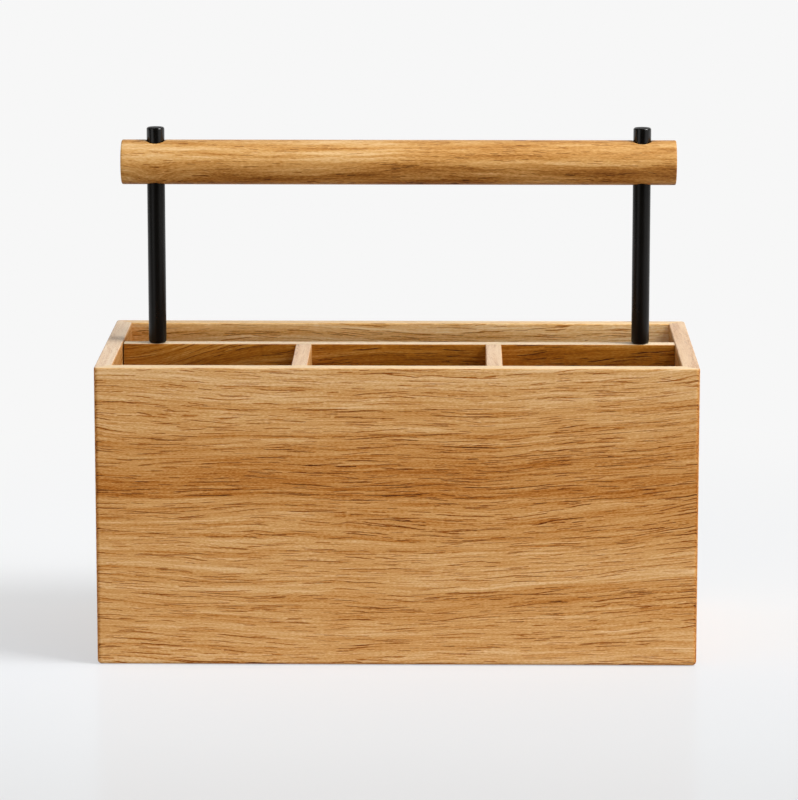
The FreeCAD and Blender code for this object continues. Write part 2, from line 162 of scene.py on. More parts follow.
# %% The floor's mesh
half_floor, cells, sunk = 6.0, 8, 0.0002
line = np.linspace(-1, 1, cells + 1) * half_floor
gx, gy = np.meshgrid(line, line, indexing="ij")
corners = np.stack([gx.ravel(), gy.ravel(), np.full(gx.size, -sunk)], 1)
first = (np.arange(cells)[:, None] * (cells + 1) + np.arange(cells)).ravel()
quads = np.stack([first, first + cells + 1, first + cells + 2, first + 1], 1)
floor_mesh = bpy.data.meshes.new("floor")
floor_mesh.from_pydata(corners.tolist(), [], quads.tolist())
floor = bpy.data.objects.new("floor", floor_mesh)
bpy.context.scene.collection.objects.link(floor)
print("floor is", 2 * half_floor, "m wide in", len(floor_mesh.polygons), "faces")

# %% Matt paper
# Matt paper scatters light evenly, with just enough smooth gloss to mirror the foot of the box. About half
# of what the camera and mirror-like rays get from it is a glow, which evens out the sweep: brighter towards
# the back, dimmer to the right. The softbox's shadow stays in the other half.
glow_share, gloss_share, gloss_roughness = 0.54, 0.10, 0.16
paper, tree = new_material("matt_paper_sweep")
place = add(tree, "TexCoord").outputs["Object"]
across, depth, _ = add(tree, "SeparateXYZ", {0: place}).outputs
ray = add(tree, "LightPath")
by_camera = ray.outputs["Is Camera Ray"]
by_mirror = add(tree, "Math", {0: ray.outputs["Is Glossy Ray"], 1: ray.outputs["Is Transmission Ray"]},
                operation="MAXIMUM")
paper_colour = add(tree, "ValToRGB", {0: by_camera})
set_stops(paper_colour, [(0.0, "#B0B0B0"), (1.0, "#FBFDFF")])
sheet = add(tree, "MixShader", {
    0: gloss_share, 1: add(tree, "BsdfDiffuse", {"Color": paper_colour}),
    2: add(tree, "BsdfGlossy", {"Color": linear("#FFFFFF"), "Roughness": gloss_roughness})})

way = add(tree, "SeparateXYZ", {0: add(tree, "VectorMath", {0: place}, operation="NORMALIZE")}).outputs
backward = add(tree, "MapRange", {"Value": depth, "From Min": -0.55, "From Max": -0.15, "To Min": ROOM_DIM})
glare = add(tree, "Math", {0: backward, 1: panel_glare(tree, way["X"], way["Y"])}, operation="MAXIMUM")
mirrored = add(tree, "Math", {0: by_mirror, 1: glare}, operation="MULTIPLY")

to_back = add(tree, "MapRange", {"Value": depth, "From Min": -0.36, "From Max": 0.06})
glow_colour = add(tree, "ValToRGB", {0: to_back})
set_stops(glow_colour, [(0.0, "#D4D4D4"), (0.30, "#E2E4E6"), (0.62, "#ECEFF3"), (1.0, "#FBFCFD")])
to_right = add(tree, "MapRange", {"Value": across, "From Min": -0.16, "From Max": 0.5,
                                  "To Min": 1.0, "To Max": 0.704})
direct = add(tree, "Math", {0: by_camera, 1: to_right}, operation="MULTIPLY")
glow = add(tree, "Emission", {"Color": glow_colour,
                              "Strength": add(tree, "Math", {0: direct, 1: mirrored}, operation="MAXIMUM")})
has_glow = add(tree, "Math", {0: by_camera, 1: by_mirror}, operation="MAXIMUM")
near = add(tree, "MixShader", {0: add(tree, "Math", {0: has_glow, 1: glow_share}, operation="MULTIPLY"),
                               1: sheet, 2: glow})
print("paper nodes so far:", len(tree.nodes))

# %% The paper fades to white
# Away from the caddy the sweep is lit so evenly that nothing of it shows but white.
fade_centre, fade_from, fade_to = (0.0, -0.15, 0.0), 0.30, 0.80
reach = add(tree, "VectorMath", {0: place, 1: fade_centre}, operation="DISTANCE").outputs["Value"]
far = add(tree, "MapRange", {"Value": reach, "From Min": fade_from, "From Max": fade_to},
          interpolation_type="SMOOTHSTEP")
white = add(tree, "Emission", {"Color": SWEEP_WHITE, "Strength": add(
    tree, "Math", {0: by_camera, 1: mirrored}, operation="MAXIMUM")})
add(tree, "OutputMaterial", {"Surface": add(tree, "MixShader", {0: far, 1: near, 2: white})})
floor.data.materials.append(paper)
print("the paper fades to white from", fade_from, "m to", fade_to, "m")

# %% World
room_light = 0.32
world = bpy.data.worlds.new("studio")
bpy.context.scene.world = world
world.use_nodes = True
tree = world.node_tree
tree.nodes.clear()
ray = add(tree, "LightPath")
by_mirror = add(tree, "Math", {0: ray.outputs["Is Glossy Ray"], 1: ray.outputs["Is Transmission Ray"]},
                operation="MAXIMUM")
direction = add(tree, "SeparateXYZ", {0: add(tree, "TexCoord").outputs["Generated"]}).outputs
backward = add(tree, "MapRange", {"Value": direction["Y"], "From Min": 0.20, "From Max": 0.80,
                                  "To Min": ROOM_DIM, "To Max": 1.0}, interpolation_type="SMOOTHSTEP")
glare = add(tree, "Math", {0: backward, 1: panel_glare(tree, direction["X"], direction["Y"])},
            operation="MAXIMUM")
room = add(tree, "Background", {"Color": linear("#FFFFFF"), "Strength": room_light})
in_mirrors = add(tree, "Background", {"Color": SWEEP_WHITE, "Strength": glare})
behind_all = add(tree, "Background", {"Color": SWEEP_WHITE, "Strength": 1.0})
lit = add(tree, "MixShader", {0: by_mirror, 1: room, 2: in_mirrors})
shown = add(tree, "MixShader", {0: ray.outputs["Is Camera Ray"], 1: lit, 2: behind_all})
add(tree, "OutputWorld", {"Surface": shown})
print("world nodes:", len(tree.nodes))


# %% Lamps
def softbox(name, place, target, width, height, power):
    """A rectangular lamp at a place, turned so that its front looks at the target. Metres and watts."""
    lamp = bpy.data.lights.new(name, "AREA")
    lamp.shape = "RECTANGLE"
    lamp.size, lamp.size_y, lamp.energy = width, height, power
    holder = bpy.data.objects.new(name, lamp)
    bpy.context.scene.collection.objects.link(holder)
    away = np.array(target) - np.array(place)
    flat = math.hypot(away[0], away[1])
    holder.location = place
    holder.rotation_euler = (math.pi / 2 + math.atan2(away[2], flat), 0, math.atan2(-away[0], away[1]))
    return holder


softbox("key_softbox", place=(1.60, -0.53, 2.02), target=(0, 0, 0.08), width=1.2, height=1.2, power=62)
for hand, aside in (("left", -2.1), ("right", 2.1)):
    panel = softbox(hand + "_panel", place=(aside, -1.9, 0.34), target=(0, 0, 0.15), width=2.2, height=0.62,
                    power=24)
    panel.visible_glossy = False

# %% [markdown]
# ## Oak
#
# Oak is a ring-porous wood. Each year it lays down a band of wide pores and then denser wood, and a board
# sawn along the trunk shows the bands as long soft stripes and the pores as thin dark dashes, 5 to 35 mm
# long. A picture of wood can be wrapped on a piece, but it stops at the edges. Here the wood is worked out
# in space, in millimetres, so a board that turns a corner carries its own grain round.
#
# One number, the tone, says how light the wood is at a point. Bands, fibres and pores each push it up or
# down, and a single ramp turns it to colour, because darker oak is also redder. Before that, the wander of
# the trunk bends the whole pattern.

# %% How the grain runs
SLOW_MM, QUICK_MM = (150, 90, 60), (24, 12, 6)


def grain_lines(tree, here, start, lean, ripple, bow, wander, knot):
    """Numbers the layers of the trunk, in mm, at a point (x, y, z) of the board, in two ways. The broad
    level is z + lean y + quick noise of size ripple. The fine level adds bow x^2, slow noise of size
    wander, and beside a knot depth exp(-((x - x0) / reach)^2), whole up to bottom and gone at top.
    start is how far along the trunk the piece is cut, because a knot's x0 counts from the caddy's middle.
    Gives x, y, the broad level, and the point (x, y, fine level), where the grain is straight."""
    x, y, z = add(tree, "SeparateXYZ", {0: here}).outputs
    bends = []
    for cell, detail, size in ((SLOW_MM, 1.0, wander), (QUICK_MM, 2.0, ripple)):
        at = add(tree, "VectorMath", {0: here, 1: tuple(1 / mm for mm in cell)}, operation="MULTIPLY")
        noise = add(tree, "TexNoise", {"Vector": at, "Scale": 1.0, "Detail": detail})
        bends.append(add(tree, "MapRange", {"Value": noise, "From Min": 0.25, "From Max": 0.75,
                                            "To Min": -size, "To Max": size}, clamp=False))
    slow, quick = bends
    leaning = add(tree, "Math", {0: y, 1: lean, 2: z}, operation="MULTIPLY_ADD")
    level = add(tree, "Math", {0: leaning, 1: quick})
    bowed = add(tree, "Math", {0: add(tree, "Math", {0: x, 1: x}, operation="MULTIPLY"), 1: bow, 2: level},
                operation="MULTIPLY_ADD")
    if knot:
        x0, reach, depth, bottom, top = knot
        u = add(tree, "Math", {0: x, 1: 1 / reach, 2: -(x0 + start) / reach}, operation="MULTIPLY_ADD")
        uu = add(tree, "Math", {0: u, 1: u}, operation="MULTIPLY")
        dip = add(tree, "Math", {0: add(tree, "Math", {0: uu, 1: -1.0}, operation="MULTIPLY")},
                  operation="EXPONENT")
        low = add(tree, "MapRange", {"Value": z, "From Min": top, "From Max": bottom, "To Max": 1.0})
        dip = add(tree, "Math", {0: dip, 1: low}, operation="MULTIPLY")
        bowed = add(tree, "Math", {0: dip, 1: depth, 2: bowed}, operation="MULTIPLY_ADD")
    fine = add(tree, "Math", {0: bowed, 1: slow})
    return x, y, level, add(tree, "CombineXYZ", {0: x, 1: y, 2: fine})


print("the grain wanders over", SLOW_MM, "mm and ripples over", QUICK_MM, "mm")

# %% Yearly bands, streaks, fibres and grit
# Yearly bands are about 5 mm apart, streaks 2 mm, fibres under 1 mm, and the grit of the sanded face is
# finer still. Each row is the size of its noise in mm, along the grain, into the board and across.
FIGURE = ((420, 16, 5.0), (90, 4, 1.9), (36, 1.5, 0.62), (2.0, 0.7, 0.45))
FIGURE_DETAIL, FIGURE_ROUGHNESS = (2.0, 2.0, 2.0, 1.0), 0.55


def figure_layers(tree, trunk, figure):
    """One stretched noise for each layer, from 0 to 1: noise(point / size)."""
    layers = []
    for size, detail in zip(figure, FIGURE_DETAIL):
        at = add(tree, "VectorMath", {0: trunk, 1: tuple(1 / mm for mm in size)}, operation="MULTIPLY")
        layers.append(add(tree, "TexNoise", {"Vector": at, "Scale": 1.0, "Detail": detail,
                                             "Roughness": FIGURE_ROUGHNESS}))
    return layers


print("layers of figure:", len(FIGURE))

# %% Pores
# A row is the size of a cell in mm, then half the length and half the width of its dash in mm, and the
# share of cells that show one. Real pores are 0.3 mm wide. They are drawn up to 0.6 mm wide, so as to show.
PORES = (((42.0, 2.0, 2.05), 18.0, 0.30, 0.96), ((23.0, 1.5, 1.60), 9.5, 0.27, 0.90),
         ((12.0, 1.2, 1.3), 4.6, 0.23, 0.74))
PORE_DEEP, PORE_SLOPE, PORE_SOFT, SHARE_SOFT, SMALLEST = 1.3, 0.07, 0.16, 0.12, 0.45


def pore_dashes(tree, trunk, dashes, rings, fewer):
    """0 on plain wood to 1 in a pore. Each cell of a stretched cell pattern holds one dash, a point where
    sqrt((x / half length)^4 + (y / deep)^2 + ((z + slope x) / half width)^2) is less than its size. The
    cell's random colour gives the size, the slope, and with the yearly bands whether the dash shows."""
    hollow = None
    for cell, half_length, half_width, share in dashes:
        at = add(tree, "VectorMath", {0: trunk, 1: tuple(1 / mm for mm in cell)}, operation="MULTIPLY")
        found = add(tree, "TexVoronoi", {"Vector": at, "Scale": 1.0}).outputs
        for_size, for_show, for_slope = add(tree, "SeparateXYZ", {0: found["Color"]}).outputs
        off = add(tree, "VectorMath", {0: at, 1: found["Position"]}, operation="SUBTRACT")
        along = add(tree, "SeparateXYZ", {0: off}).outputs["X"]
        steepest = PORE_SLOPE * cell[0] / half_width
        slope = add(tree, "MapRange", {"Value": for_slope, "To Min": -steepest, "To Max": steepest})
        part = add(tree, "Math", {0: along, 1: cell[0] / half_length}, operation="MULTIPLY")
        rise = add(tree, "CombineXYZ", {0: add(tree, "Math", {0: part, 1: part}, operation="MULTIPLY"),
                                        2: add(tree, "Math", {0: along, 1: slope}, operation="MULTIPLY")})
        stretch = (0.0, cell[1] / PORE_DEEP, cell[2] / half_width)
        oval = add(tree, "VectorMath", {0: off, 1: stretch, 2: rise}, operation="MULTIPLY_ADD")
        out = add(tree, "VectorMath", {0: oval}, operation="LENGTH").outputs["Value"]
        size = add(tree, "MapRange", {"Value": for_size, "To Min": SMALLEST, "To Max": 1.0})
        inside = add(tree, "Math", {0: size, 1: out}, operation="SUBTRACT")
        dark = add(tree, "MapRange", {"Value": inside, "From Min": 0.0, "From Max": PORE_SOFT})
        shows = add(tree, "MapRange", {"Value": add(tree, "Math", {0: for_show, 1: rings}),
                                       "From Min": share - fewer + SHARE_SOFT,
                                       "From Max": share - fewer - SHARE_SOFT})
        depth = add(tree, "Math", {0: dark, 1: shows}, operation="MULTIPLY")
        hollow = depth if hollow is None else add(tree, "Math", {0: hollow, 1: depth}, operation="MAXIMUM")
    return hollow


print("sizes of pores:", len(PORES), "- the longest is", 2 * PORES[0][1], "mm")


# %% Painted shade on rounded corners
def painted_corner_shade(tree, nx, ny, nz):
    """0 on a flat face and up to 1/4 half way between two faces: (nx^2 + ny^2) min(nz, 0)^2 + nx^2 ny^2.
    Shade is painted on the rounded corners and along the feet, except where they face up."""
    down = add(tree, "Math", {0: nz, 1: 0.0}, operation="MINIMUM")
    xx, yy, zz = (add(tree, "Math", {0: n, 1: n}, operation="MULTIPLY") for n in (nx, ny, down))
    upright = add(tree, "Math", {0: xx, 1: yy}, operation="MULTIPLY")
    return add(tree, "Math", {0: add(tree, "Math", {0: xx, 1: yy}), 1: zz, 2: upright},
               operation="MULTIPLY_ADD")


# %% The oak material
# Oiled oak, planed and sanded: the oil is thin, so it gives a soft sheen and no coat. The pores stay open
# as shallow gutters, and they and the fibres take the shine off.
OAK_RAMP = [(0.0, "#3E1600"), (0.15, "#6A2E00"), (0.30, "#904C0A"), (0.45, "#B06C26"),
            (0.60, "#C48948"), (0.78, "#D4A265"), (1.0, "#E8C292")]
# the colour of the painted sheen on the top edges
TOP_SHEEN_OAK = "#F7DEC0"
EVEN_BANDS = [(0.0, 0.62), (0.25, 0.57), (0.5, 0.64), (0.75, 0.56), (1.0, 0.62)]
HALF_LENGTH, LIFT = 165.0, 0.05


def oak(name, turn=0.0, shift=(0.0, 0.0, 0.0), bands=EVEN_BANDS, span=166.0, lean=0.6, ripple=0.55,
        bow=0.0, wander=5.0, knot=None, figure=FIGURE, grain=(0.55, 0.50, 0.62, 0.42), dashes=PORES,
        pores=0.42, fewer=0.0, tone=0.0, drift=0.0, inner_face_light=(0.0, 0.0), corner_shade=0.16, ramp=OAK_RAMP, rim=0.66,
        edge=TOP_SHEEN_OAK):
    """Oak whose grain runs along X, or along Y with turn at 90 degrees. Lengths are in mm.
    shift: which part of the trunk the piece is cut from, so that no two pieces look alike.
    bands, span: the tone of the broad stripes, as stops over a height of span. On the bar the span is its
    whole height, so there they also paint shade.
    lean, ripple, bow, wander, knot: how the grain runs, as in grain_lines.
    figure, grain: sizes of bands, streaks, fibres and grit, and how strongly each changes the tone.
    dashes, pores, fewer: the pores as in PORES, how much they darken, and how many are left out.
    tone, drift: added everywhere, and added at the right end and taken away at the left.
    inner_face_light: painted light: the tone changes by the second number for each mm of y beyond the
    first, so that the inner face of the back board shows lighter than its outer face.
    corner_shade: how much painted shade darkens the rounded corners and feet.
    ramp: the colours from dark to light.
    rim, edge: painted sheen on the top edges: faces that look up go, by up to rim, towards the colour edge."""
    material, tree = new_material(name)
    here = add(tree, "Mapping", {"Vector": add(tree, "TexCoord").outputs["Object"], "Location": shift,
                                 "Rotation": (0, 0, math.radians(turn)), "Scale": (1000, 1000, 1000)})
    x, y, level, trunk = grain_lines(tree, here, shift[0], lean, ripple, bow, wander, knot)
    layers = figure_layers(tree, trunk, figure)
    rings, streaks, fibres, grit = layers
    hollow = pore_dashes(tree, trunk, dashes, rings, fewer)

    # the tone: stripes, then yearly bands, streaks, fibres, grit and pores, then what changes it slowly
    t = add(tree, "ValToRGB", {0: add(tree, "Math", {0: level, 1: span}, operation="DIVIDE")})
    set_stops(t, bands)
    for layer, weight in (*zip(layers, grain), (hollow, -pores)):
        t = add(tree, "Math", {0: layer, 1: weight, 2: t}, operation="MULTIPLY_ADD")
    t = add(tree, "Math", {0: t, 1: tone - sum(grain) / 2 + LIFT - drift * shift[0] / HALF_LENGTH})
    t = add(tree, "Math", {0: x, 1: drift / HALF_LENGTH, 2: t}, operation="MULTIPLY_ADD")
    # painted light: one face of a board is drawn lighter than the other
    light_from_y, light_slope = inner_face_light
    beyond = add(tree, "Math", {0: y, 1: shift[1] + light_from_y}, operation="SUBTRACT")
    t = add(tree, "Math", {0: beyond, 1: light_slope, 2: t}, operation="MULTIPLY_ADD")
    nx, ny, nz = add(tree, "SeparateXYZ", {0: add(tree, "NewGeometry").outputs["Normal"]}).outputs
    # painted shade on the rounded corners and along the feet
    corner = painted_corner_shade(tree, nx, ny, nz)
    t = add(tree, "Math", {0: corner, 1: -4 * corner_shade, 2: t}, operation="MULTIPLY_ADD")
    colour = add(tree, "ValToRGB", {0: t})
    set_stops(colour, ramp)

    # painted sheen: faces that look up go towards the edge colour, flecked by the streaks and grit
    top_sheen = add(tree, "MapRange", {"Value": nz, "From Min": 0.70, "From Max": 0.97, "To Max": rim})
    fine = add(tree, "MapRange", {"Value": add(tree, "Math", {0: streaks, 1: grit}), "From Min": 0.75,
                                  "From Max": 1.15, "To Min": 0.62, "To Max": 1.05})
    colour = add(tree, "Mix", {0: add(tree, "Math", {0: top_sheen, 1: fine}, operation="MULTIPLY"), 6: colour,
                               7: linear(edge)}, data_type="RGBA").outputs[2]

    ridges = add(tree, "Math", {0: fibres, 1: 0.8}, operation="MULTIPLY")
    face = add(tree, "Math", {0: hollow, 1: -1.0, 2: ridges}, operation="MULTIPLY_ADD")
    relief = add(tree, "Bump", {"Height": face, "Strength": 0.5, "Distance": 0.00012})
    dull = add(tree, "MapRange", {"Value": face, "From Min": -1.0, "From Max": 0.6,
                                  "To Min": 0.70, "To Max": 0.48})
    oiled = add(tree, "BsdfPrincipled", {"Base Color": colour, "Roughness": dull, "IOR": 1.47,
                                         "Specular IOR Level": 0.25, "Normal": relief})
    add(tree, "OutputMaterial", {"Surface": oiled})
    return material


def dress(material, *names):
    """Puts a material in every slot of the named nodes."""
    for name in names:
        for slot in nodes[name].material_slots:
            slot.material = material


print("oak runs from", OAK_RAMP[0][1], "in the pores to", OAK_RAMP[-1][1])

# %% [markdown]
# ## The boards
#
# The box, its dividers and its base are right as they come from the imported model, so they only get their
# wood. Each board is cut from another place of the trunk. The front is cut so that a darker stripe runs
# along it a little above the middle, with paler wood near the rim and the foot. The back is more golden,
# with painted light that makes it palest on its inner face. The long divider has a darker, redder ramp.
# Each board's top edge gets a painted sheen, strongest on the long divider. The splines lie across the
# corners, so their grain runs at 45 degrees.

# %% Front, back and long divider
# a yellower colour for the painted sheen on the top edges
YELLOW_TOP_SHEEN = "#F8DCB0"
FRONT_BANDS = [(0.0, 0.75), (0.06, 0.69), (0.20, 0.64), (0.345, 0.70), (0.43, 0.63), (0.555, 0.60),
               (0.575, 0.47), (0.64, 0.48), (0.75, 0.61), (0.88, 0.71), (1.0, 0.77)]
GOLD_RAMP = [(0.0, "#4A1C00"), (0.15, "#7E3E04"), (0.30, "#A45E12"), (0.45, "#C07C30"),
             (0.60, "#D89C4E"), (0.78, "#EDBC78"), (1.0, "#FBDAA6")]
DEEP_RAMP = [(0.0, "#281000"), (0.15, "#4A2000"), (0.30, "#6F3A02"), (0.45, "#93540C"),
             (0.60, "#AC6A16"), (0.78, "#C08638"), (1.0, "#D8AE68")]
dress(oak("oiled_oak_front", shift=(40, 80, 0), bands=FRONT_BANDS, bow=-0.0002, wander=4.0,
          grain=(0.55, 0.50, 0.70, 0.52), pores=0.43, fewer=-0.08, rim=0.92, edge=YELLOW_TOP_SHEEN),
      "front_board")
# painted light: the back's tone is raised, and falls towards its outer face
dress(oak("oiled_oak_back", shift=(900, 300, 70), pores=0.46, fewer=-0.05, tone=0.16, drift=0.16,
          inner_face_light=(70.5, -0.024), ramp=GOLD_RAMP, edge=YELLOW_TOP_SHEEN), "back_board")
# a branch grew just left of the long divider, and dips the grain of its left end over its whole height
branch = (-160, 55.0, 22.0, 900.0, 999.0)
dress(oak("oiled_oak_divider", shift=(2200, 500, 30), knot=branch, tone=-0.07, ramp=DEEP_RAMP, rim=1.0,
          edge="#FFE6C0"), "long_divider")
print("stripes on the front:", len(FRONT_BANDS))

# %% Ends, short dividers, base and splines
across_caddy = {"turn": -90, "pores": 0.24, "fewer": 0.08}
# the left end's top edge takes more painted sheen than the right end's
dress(oak("oiled_oak_left_end", shift=(500, 700, 20), rim=0.80, edge="#FCE6CA", **across_caddy),
      "left_end_board")
dress(oak("oiled_oak_right_end", shift=(1500, 200, 90), rim=0.58, **across_caddy), "right_end_board")
dress(oak("oiled_oak_short_left", shift=(2800, 100, 0), **across_caddy), "left_short_divider")
dress(oak("oiled_oak_short_right", shift=(3300, 900, 50), **across_caddy), "right_short_divider")
dress(oak("oiled_oak_base", shift=(3900, 400, 10)), "base_board")
dress(oak("oak_splines", turn=45, shift=(5200, 300, 40), tone=-0.06), "front_left_spline",
      "front_right_spline", "back_left_spline", "back_right_spline")
print("oak materials:", len([m for m in bpy.data.materials if "oak" in m.name]))

# %% [markdown]
# ## Black metal and plain steel
#
# The rods are powder coated: a dry powder is baked on, and leaves a satin skin with a faint orange peel.
# The caps are lacquered, which is smoother and glossier. A picture of metal would hold one studio for ever.
# A dark base colour with the right roughness shows whatever stands round it, and for both blacks that is
# most of what the eye gets. The studs are drawn steel, bare, and they are hidden in the wood.

# %% Black powder coat
# Roughness drifts a little from place to place, and bumps 0.7 mm apart are the orange peel.
coat, tree = new_material("black_powder_coated_steel")
here = add(tree, "TexCoord").outputs["Object"]
peel = add(tree, "TexNoise", {"Vector": here, "Scale": 1500.0, "Detail": 2.0})
cloud = add(tree, "TexNoise", {"Vector": here, "Scale": 90.0, "Detail": 3.0})
relief = add(tree, "Bump", {"Height": peel, "Strength": 0.12, "Distance": 0.00004})
satin = add(tree, "MapRange", {"Value": cloud, "From Min": 0.3, "From Max": 0.7,
                               "To Min": 0.26, "To Max": 0.34})
add(tree, "OutputMaterial", {"Surface": add(tree, "BsdfPrincipled", {
    "Base Color": linear("#0C0A08"), "Roughness": satin, "IOR": 1.5, "Specular IOR Level": 0.25,
    "Normal": relief})})
print("powder coat nodes:", len(tree.nodes))

# %% Black lacquer
# Smoother than the coat, so it holds a small bright gleam. The flat tops keep the fine scratches of a file
# under the lacquer, so they gleam less than the rounded edge.
lacquer, tree = new_material("black_lacquered_steel")
here = add(tree, "TexCoord").outputs["Object"]
upward = add(tree, "SeparateXYZ", {0: add(tree, "NewGeometry").outputs["Normal"]}).outputs["Z"]
filed = add(tree, "MapRange", {"Value": upward, "From Min": 0.90, "From Max": 0.99, "To Max": 0.50})
cloud = add(tree, "TexNoise", {"Vector": here, "Scale": 260.0, "Detail": 3.0})
gloss = add(tree, "MapRange", {"Value": cloud, "From Min": 0.3, "From Max": 0.7,
                               "To Min": 0.15, "To Max": 0.21})
relief = add(tree, "Bump", {"Height": cloud, "Strength": 0.15, "Distance": 0.00003})
add(tree, "OutputMaterial", {"Surface": add(tree, "BsdfPrincipled", {
    "Base Color": linear("#0B0907"), "Roughness": add(tree, "Math", {0: gloss, 1: filed}), "IOR": 1.5,
    "Specular IOR Level": 0.5, "Normal": relief})})
print("lacquer nodes:", len(tree.nodes))

# %% Plain steel of the studs
# Drawing leaves fine lines along the rod, 0.25 mm apart and 17 mm long, which show as a changing roughness.
drawn_lines = (4000, 4000, 60)
steel, tree = new_material("plain_steel")
here = add(tree, "TexCoord").outputs["Object"]
drawn = add(tree, "TexNoise", {"Vector": add(tree, "VectorMath", {0: here, 1: drawn_lines},
                                             operation="MULTIPLY"), "Scale": 1.0, "Detail": 3.0})
rough = add(tree, "MapRange", {"Value": drawn, "From Min": 0.3, "From Max": 0.7,
                               "To Min": 0.28, "To Max": 0.42})
add(tree, "OutputMaterial", {"Surface": add(tree, "BsdfPrincipled", {
    "Base Color": linear("#C3BFB9"), "Metallic": 1.0, "Roughness": rough})})
dress(steel, "left_handle_stud", "right_handle_stud", "left_foot_stud", "right_foot_stud")
print("materials:", len(bpy.data.materials))

# %% [markdown]
# ## Turned pieces
#
# The rods and their caps are cut from round bar on a lathe, so each is one profile carried round an axis.
# A cylinder primitive has hard rims that no lathe leaves. Here the profile itself has the eased corners,
# because the small rounding is where the softbox shows as a bright spot on the cap.

# %% Helpers for surfaces
MM = 0.001
SEAM, SHARP = 2e-6, 35


def grid_faces(rows, columns, first=0):
    """Quads between the points of a rows by columns grid, numbered from first. The last column joins the
    first, as on a tube."""
    i, j = np.meshgrid(np.arange(rows - 1), np.arange(columns), indexing="ij")
    k = (j + 1) % columns
    quads = np.stack([i * columns + j, i * columns + k, (i + 1) * columns + k, (i + 1) * columns + j], -1)
    return quads.reshape(-1, 4) + first


def cap_faces(columns, first, pole):
    """Triangles from one ring of points, numbered from first, to its pole."""
    j = np.arange(columns)
    return np.stack([first + j, first + (j + 1) % columns, np.full(columns, pole)], -1)


def bend(centre, radius, start, stop, steps):
    """Points on an arc in the plane of (radius, height): centre + radius (cos angle, sin angle), in
    degrees."""
    angle = np.radians(np.linspace(start, stop, steps))
    return np.stack([centre[0] + radius * np.cos(angle), centre[1] + radius * np.sin(angle)], -1)


def make_piece(name, points, faces, material, stands_for, slot):
    """One closed mesh from points in mm and a list of face arrays, with its seams merged, its faces turned
    outwards and its edges sharp only where the surface really breaks."""
    mesh = bpy.data.meshes.new(name)
    mesh.from_pydata((np.asarray(points) * MM).tolist(), [], [f for part in faces for f in part.tolist()])
    shape = bmesh.new()
    shape.from_mesh(mesh)
    bmesh.ops.remove_doubles(shape, verts=shape.verts, dist=SEAM)
    bmesh.ops.recalc_face_normals(shape, faces=shape.faces)
    open_edges = sum(not edge.is_manifold for edge in shape.edges)
    shape.to_mesh(mesh)
    shape.free()
    mesh.shade_smooth()
    mesh.set_sharp_from_angle(angle=math.radians(SHARP))
    piece = bpy.data.objects.new(name, mesh)
    bpy.context.scene.collection.objects.link(piece)
    mesh.materials.append(material)
    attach(piece, "root")
    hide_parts(stands_for)
    size = np.ptp(np.asarray(points), 0).round(2)
    print(name, "faces", len(mesh.polygons), "open edges", open_edges, "size in mm", size.tolist())


def turned(profile, around, turns=96):
    """A profile carried round an upright axis: the point (r cos a, r sin a, h) for every angle a and every
    profile point (r, h). The first and last points lie on the axis, so each becomes one pole."""
    r, h = np.asarray(profile, float).T
    a = np.arange(turns) * 2 * np.pi / turns
    rings = np.stack([np.outer(r[1:-1], np.cos(a)), np.outer(r[1:-1], np.sin(a)),
                      np.repeat(h[1:-1, None], turns, 1)], -1).reshape(-1, 3)
    points = np.vstack([rings, [[0, 0, h[0]], [0, 0, h[-1]]]]) + [around[0], around[1], 0]
    rows = len(r) - 2
    return points, [grid_faces(rows, turns), cap_faces(turns, 0, len(rings)),
                    cap_faces(turns, (rows - 1) * turns, len(rings) + 1)]


print("seams closer than", SEAM / MM, "mm are merged, and edges past", SHARP, "degrees stay sharp")

# %% Rods and caps
# A rod's foot is rounded more than its top, which is hidden in the bar. A cap's top edge is eased by 1 mm,
# and its top stays a touch crowned, as a file leaves it. Both turn round the rod's axis.
radius, foot_round, top_round = 5.0, 1.5, 0.5
under_round, edge_round, crown_high, crown_wide = 0.4, 1.0, 0.08, 3.0
for hand in ("left", "right"):
    low, high = (np.array(corner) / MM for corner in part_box(hand + "_upright"))
    middle = (low + high) / 2
    rod = np.vstack([[[0, low[2]]],
                     bend((radius - foot_round, low[2] + foot_round), foot_round, -90, 0, 9),
                     bend((radius - top_round, high[2] - top_round), top_round, 0, 90, 5),
                     [[0, high[2]]]])
    make_piece(hand + "_rod", *turned(rod, middle), coat, hand + "_upright", "black_metal")
    low, high = (np.array(corner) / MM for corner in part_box(hand + "_cap_nut"))
    r = np.linspace(crown_wide, 0, 4)
    crown = np.stack([r, high[2] - crown_high * (r / (radius - edge_round)) ** 2], -1)
    cap = np.vstack([[[0, low[2]]],
                     bend((radius - under_round, low[2] + under_round), under_round, -90, 0, 5),
                     bend((radius - edge_round, high[2] - edge_round - crown_high), edge_round, 0, 88, 12),
                     crown])
    make_piece(hand + "_cap", *turned(cap, middle), lacquer, hand + "_cap_nut", "black_metal")

# %% [markdown]
# ## The bar
#
# The handle is a 25 mm oak dowel with eased ends. At each rod it is drilled from below for the rod's end
# and counterbored from above for the cap, and a little sanding rounds each mouth over. A boolean would cut
# the holes but leave no rounding, so the skin is laid out flat, along the bar and round it, and each hole
# gets its own patch that turns a square of the grid into the round mouth.

# %% The bar's measures
low, high = (np.array(corner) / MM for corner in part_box("handle_bar"))
bar_y, bar_z = (low[1] + high[1]) / 2, (low[2] + high[2]) / 2
bar_r, bar_end = (high[2] - low[2]) / 2, high[0]
rod_x = float(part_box("right_upright")[0].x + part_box("right_upright")[1].x) / 2 / MM
seat_low = float(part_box("right_upright")[1].z) / MM - bar_z
seat_high = float(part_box("right_cap_nut")[0].z) / MM - bar_z
print("bar", round(2 * bar_r, 2), "mm thick, rods at", round(rod_x, 2), "mm, seats at", round(seat_low, 2),
      "and", round(seat_high, 2), "mm from its axis")

